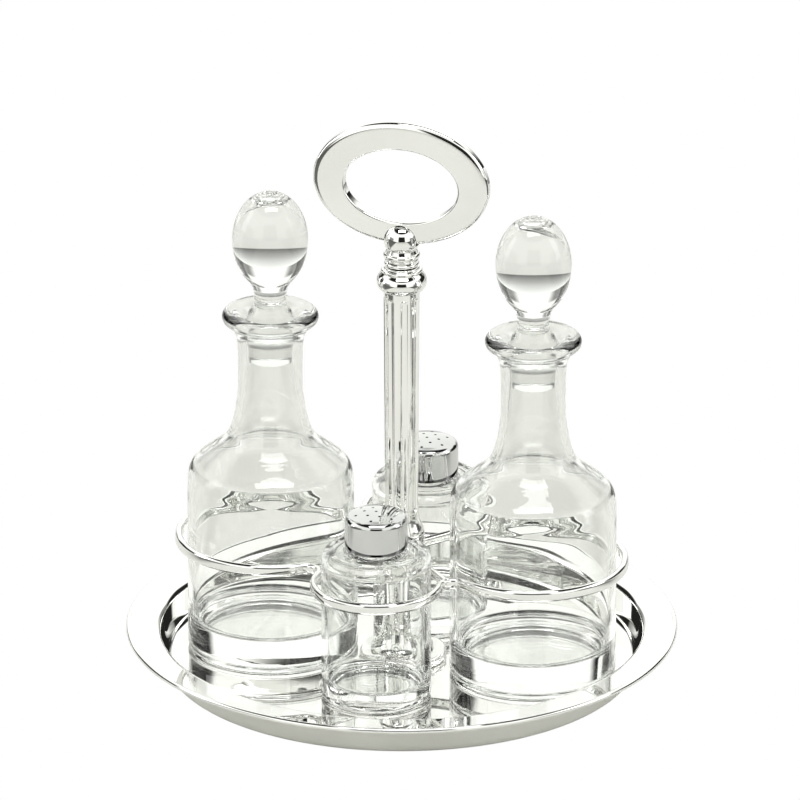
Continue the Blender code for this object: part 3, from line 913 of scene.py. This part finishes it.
def make_shaker(side):
    y = centre_of(f"shaker_{side}").y
    shaker = turned(f"shaker_{side}_glass", shaker_profile(), [shaker_glass], y=y, z=TOUCH)
    declare(shaker, f"shaker_{side}", "shaker_glass", f"shaker_{side}")
    inner, outer = SHAKER_BORE + 0.5, CAP_RADIUS - 1.7
    low, high = SHAKER_MOUTH_Z + 0.4 + SEAL_ROUND, SHAKER_MOUTH_Z + 0.4 + 1.1
    washer = arc(inner, high, SEAL_ROUND, 180, 90, 4)
    washer += arc(outer, high, SEAL_ROUND, 90, 0, 4)
    washer += arc(outer, low, SEAL_ROUND, 0, -90, 4)
    washer += arc(inner, low, SEAL_ROUND, -90, -180, 4)
    seal = turned(
        f"seal_{side}_rubber", washer, [rubber], y=y, z=TOUCH, steps=SMALL_STEPS, loop=True
    )
    declare(seal, f"cap_seal_{side}", "seal", f"cap_seal_{side}")
    profile, start = cap_profile()
    # The cap's inner rows, and the hole walls cut by the drills, take the near-black inside:
    # painted shade.
    cap = turned(
        f"cap_{side}_chrome",
        profile,
        [chrome, inside_chrome_painted_shade],
        y=y,
        z=TOUCH,
        steps=SMALL_STEPS,
        inner=(start, len(profile)),
    )
    drills = []
    for hole_x, hole_y in cap_holes():
        bm = bmesh.new()
        bmesh.ops.create_cone(
            bm, cap_ends=True, segments=20, radius1=CAP_HOLE_RADIUS * MM,
            radius2=CAP_HOLE_RADIUS * MM, depth=6 * MM,
        )
        drill = finish_mesh("drill", bm, [inside_chrome_painted_shade])
        drill.location = (hole_x * MM, (y + hole_y) * MM, (FLOOR + CAP_TOP_Z) * MM)
        drills.append(drill)
    carve(cap, drills)
    declare(cap, f"cap_{side}", "cap_chrome", f"cap_{side}")


# Camera, floor and light


def make_camera():
    data = bpy.data.cameras.new("camera")
    data.lens = CAMERA_LENS
    data.sensor_width = CAMERA_SENSOR
    data.clip_end = CAMERA_REACH
    camera = bpy.data.objects.new("camera", data)
    bpy.context.scene.collection.objects.link(camera)
    back = Vector((
        math.sin(CAMERA_AZIMUTH) * math.cos(CAMERA_ELEVATION),
        -math.cos(CAMERA_AZIMUTH) * math.cos(CAMERA_ELEVATION),
        math.sin(CAMERA_ELEVATION),
    ))
    aim = Vector(ROOM_RIGHT) * AIM_SHIFT * MM
    aim.z = (AIM_HEIGHT + FLOOR) * MM
    camera.location = aim + back * CAMERA_DISTANCE
    camera.rotation_euler = back.to_track_quat("Z", "Y").to_euler()
    bpy.context.scene.camera = camera


def dotted(tree, vector, direction):
    """How far the vector reaches along a fixed direction."""
    inputs = {0: vector, 1: direction}
    return node(tree, "ShaderNodeVectorMath", inputs, operation="DOT_PRODUCT").outputs["Value"]


def white_to_camera(tree, shader, plain_kind, output_kind):
    """Gives the camera plain white, and every other ray the shader."""
    plain = node(tree, plain_kind, {"Color": PURE_WHITE, "Strength": 1.0})
    seen = node(tree, "ShaderNodeLightPath").outputs["Is Camera Ray"]
    mix = node(tree, "ShaderNodeMixShader", {0: seen, 1: shader, 2: plain.outputs[0]})
    node(tree, output_kind, {"Surface": mix.outputs[0]})


def make_floor():
    """A wide pale table, white to the camera.

    What the silver and glass see of it ends at an edge behind the set. Beyond that comes a sweep,
    dark at the edge and brighter towards the walls. The table is darker at both sides of the set.
    """
    bm = bmesh.new()
    bmesh.ops.create_circle(bm, cap_ends=True, segments=96, radius=TABLE_RADIUS)
    made = bpy.data.materials.new("table_white")
    made.use_nodes = True
    tree = made.node_tree
    tree.nodes.clear()
    place = node(tree, "ShaderNodeTexCoord").outputs["Object"]
    behind = dotted(tree, place, ROOM_BACK)
    edge = TABLE_EDGE[0]
    nearness = mathed(tree, "DIVIDE", edge, mathed(tree, "MAXIMUM", behind, edge))
    rise = mathed(tree, "MULTIPLY_ADD", nearness, -1.0, SWEEP_GLOW)
    aside = mathed(tree, "ABSOLUTE", dotted(tree, place, ROOM_RIGHT))
    before = mathed(tree, "MINIMUM", behind, 0.0)
    aside = mathed(tree, "MULTIPLY_ADD", before, TABLE_SIDE_SPLAY, aside)
    beside = ranged(tree, behind, *TABLE_SIDE_BACK, 1.0, 0.0)
    shaded = mathed(tree, "MULTIPLY", ranged(tree, aside, *TABLE_SIDE), beside)
    tone = blended(tree, shaded, TABLE_WHITE, TABLE_SHADE)
    table = node(tree, "ShaderNodeBsdfDiffuse", {"Color": tone}).outputs[0]
    sweep = node(tree, "ShaderNodeEmission", {"Color": WALL_TINT, "Strength": rise}).outputs[0]
    beyond = ranged(tree, behind, *TABLE_EDGE)
    ground = node(tree, "ShaderNodeMixShader", {0: beyond, 1: table, 2: sweep}).outputs[0]
    white_to_camera(tree, ground, "ShaderNodeEmission", "ShaderNodeOutputMaterial")
    floor = finish_mesh("table", bm, [made])


def sine(angle):
    return math.sin(math.radians(angle))


def wall_patch(tree, turn, height, fade_in, fade_out, span):
    """One inside a patch of the walls, and zero outside it."""
    entered, left = [[math.radians(angle) for angle in fade] for fade in (fade_in, fade_out)]
    low, high = span
    turned_in = mathed(
        tree, "MULTIPLY", ranged(tree, turn, *entered), ranged(tree, turn, *left, 1.0, 0.0)
    )
    up = ranged(tree, height, sine(low), sine(low + PATCH_SOFT))
    down = ranged(tree, height, sine(high), sine(high + PATCH_SOFT), 1.0, 0.0)
    return mathed(tree, "MULTIPLY", turned_in, mathed(tree, "MULTIPLY", up, down))


def make_world():
    """A white studio, plain white to the camera.

    Its walls are bright up to a dark ceiling, which is greyer straight up. There is a dark gap at
    the front, where a camera stands, two dark corners at the back, and a greyer strip low down.
    """
    world = bpy.data.worlds.new("studio")
    bpy.context.scene.world = world
    world.use_nodes = True
    tree = world.node_tree
    tree.nodes.clear()
    way = node(tree, "ShaderNodeTexCoord").outputs["Generated"]
    height = node(tree, "ShaderNodeSeparateXYZ", {"Vector": way}).outputs["Z"]
    across = mathed(tree, "ABSOLUTE", dotted(tree, way, ROOM_RIGHT))
    turn = mathed(tree, "ARCTAN2", across, dotted(tree, way, ROOM_FRONT))
    low_walls = wall_patch(tree, turn, height, *LOW_WALLS)
    dark = mathed(tree, "MULTIPLY", low_walls, LOW_WALLS_DARK)
    ceiling = ranged(tree, height, sine(CEILING[0]), sine(CEILING[1]))
    gap = wall_patch(tree, turn, height, *FRONT_GAP)
    corners = wall_patch(tree, turn, height, *BACK_CORNERS)
    for other in (ceiling, gap, corners):
        dark = mathed(tree, "MAXIMUM", dark, other)
    zenith = ranged(tree, height, sine(ZENITH[0]), sine(ZENITH[1]))
    glow = mathed(tree, "MULTIPLY_ADD", dark, -DARK_LOSS, WALL_GLOW)
    glow = mathed(tree, "MULTIPLY_ADD", zenith, ZENITH_GLOW, glow)
    studio = node(tree, "ShaderNodeBackground", {"Color": WALL_TINT, "Strength": glow})
    white_to_camera(tree, studio.outputs[0], "ShaderNodeBackground", "ShaderNodeOutputWorld")


def soft_box(name, place, width, height, power):
    """A soft light that faces the set, and that the camera doesn't see."""
    data = bpy.data.lights.new(name, "AREA")
    data.shape = "RECTANGLE"
    data.size = width
    data.size_y = height
    data.energy = power
    light = bpy.data.objects.new(name, data)
    light.location = place
    back = Vector(place) - Vector(LIGHT_AIM)
    light.rotation_euler = back.to_track_quat("Z", "Y").to_euler()
    light.visible_camera = False
    bpy.context.scene.collection.objects.link(light)


make_camera()
silver = plated("silver_plate", (0.86, 0.86, 0.845), (0.91, 0.91, 0.895), 0.015, 0.06)
chrome = plated("chrome_plate", (0.60, 0.605, 0.605), (0.68, 0.685, 0.68), 0.01, 0.05)
inside_chrome_painted_shade = dull_inside_painted_shade("cap_inside_painted_shade")
rubber = soft_rubber("seal_rubber")
bottle_glass = clear_glass("bottle_clear", GLASS_COLOUR)
shaker_glass = clear_glass("shaker_clear", GLASS_COLOUR)

make_tray()
make_foot()
make_stem()
make_hub()
make_shaft()
make_capital()
make_finial()
make_handle()
make_frame()
for side in ("left", "right"):
    make_bottle(side)
for side in ("front", "back"):
    make_shaker(side)

make_floor()
make_world()
soft_box("overhead_box", (0.15, -0.40, 1.55), width=1.05, height=0.36, power=7.5)
soft_box("left_box", (-1.5, -0.3, 0.7), width=0.5, height=1.1, power=3.0)
soft_box("right_box", (1.5, 0.2, 0.7), width=0.5, height=1.1, power=3.0)

scene = bpy.context.scene
scene.view_settings.view_transform = "Standard"
scene.view_settings.look = "None"
scene.cycles.max_bounces = 32
scene.cycles.transmission_bounces = 24
scene.cycles.glossy_bounces = 12
scene.cycles.diffuse_bounces = 4
scene.cycles.transparent_max_bounces = 16
